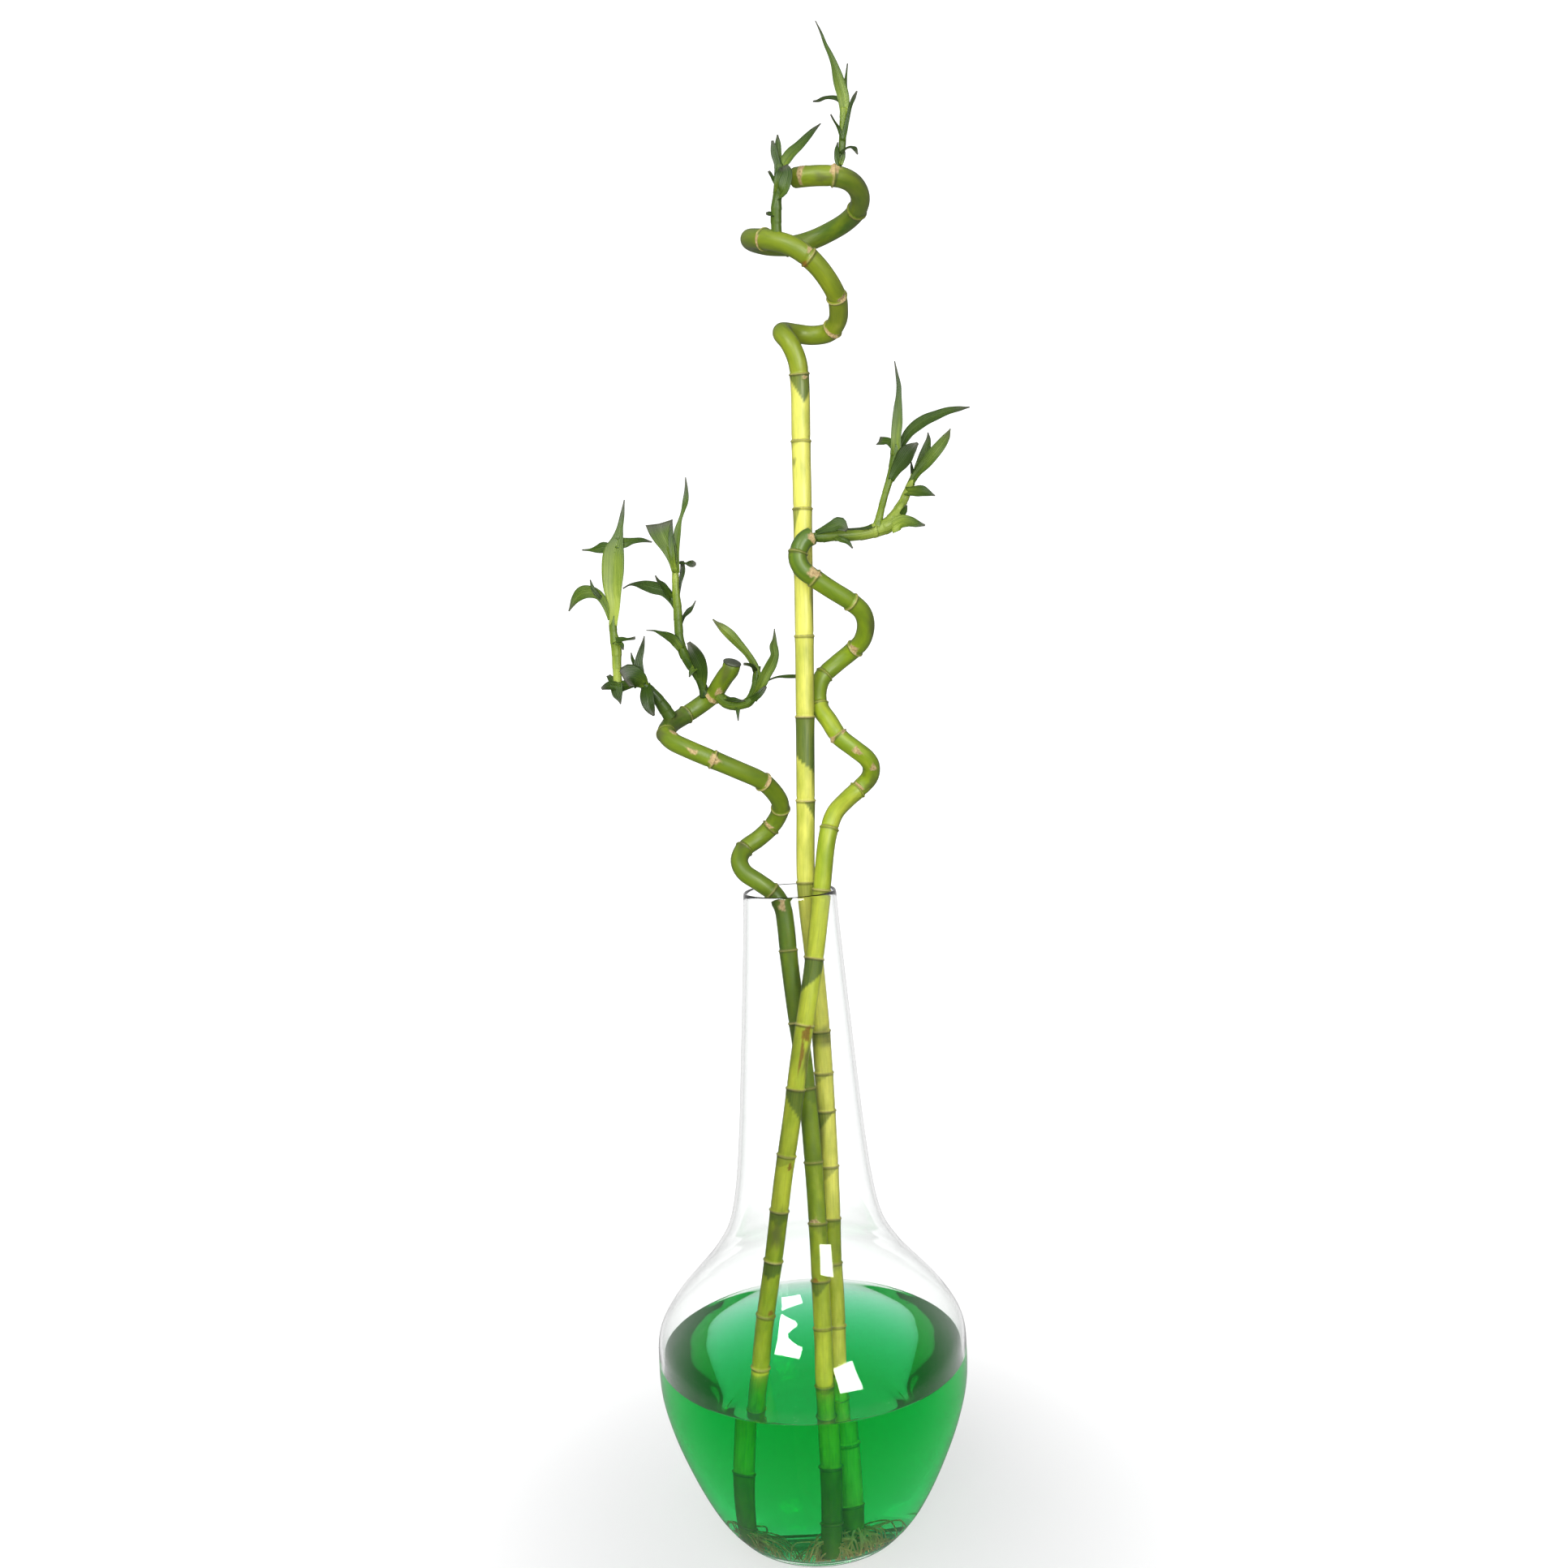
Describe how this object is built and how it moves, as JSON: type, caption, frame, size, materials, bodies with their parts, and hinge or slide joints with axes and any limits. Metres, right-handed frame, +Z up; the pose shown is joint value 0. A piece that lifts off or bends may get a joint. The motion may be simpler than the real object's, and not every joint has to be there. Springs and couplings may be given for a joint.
{
  "type": "lucky bamboo plant in a vase",
  "caption": "Tall plant of spiralled green canes with small leafy shoots, standing in green water in a clear glass bottle vase with a wide belly and a narrow neck.",
  "frame": {"origin": "centre of the vase's foot, on the surface that it stands on", "axes": "+Z up along the vase's axis, -Y the side that faces the camera, +X to its right"},
  "size_m": [0.3114, 0.2402, 1.1248],
  "materials": {
    "glass": "clear, smooth, polished",
    "water": "clear liquid, dyed green",
    "cane_bright": "smooth living bark, yellow-green, satin",
    "cane_green": "smooth living bark, green, satin",
    "wax": "dull sealing wax",
    "leaf": "smooth leaf, satin"
  },
  "bodies": {
    "root": {"glass_vase": "glass", "water": "water", "stalk_tall": "cane_bright", "stalk_right": "cane_green", "stalk_left": "cane_green", "end_seal_left": "wax", "shoot_crown": "leaf", "shoot_upper_left": "leaf", "shoot_right": "leaf", "shoot_far_left": "leaf", "shoot_left": "leaf", "shoot_inner": "leaf"}
  },
  "joints": []
}
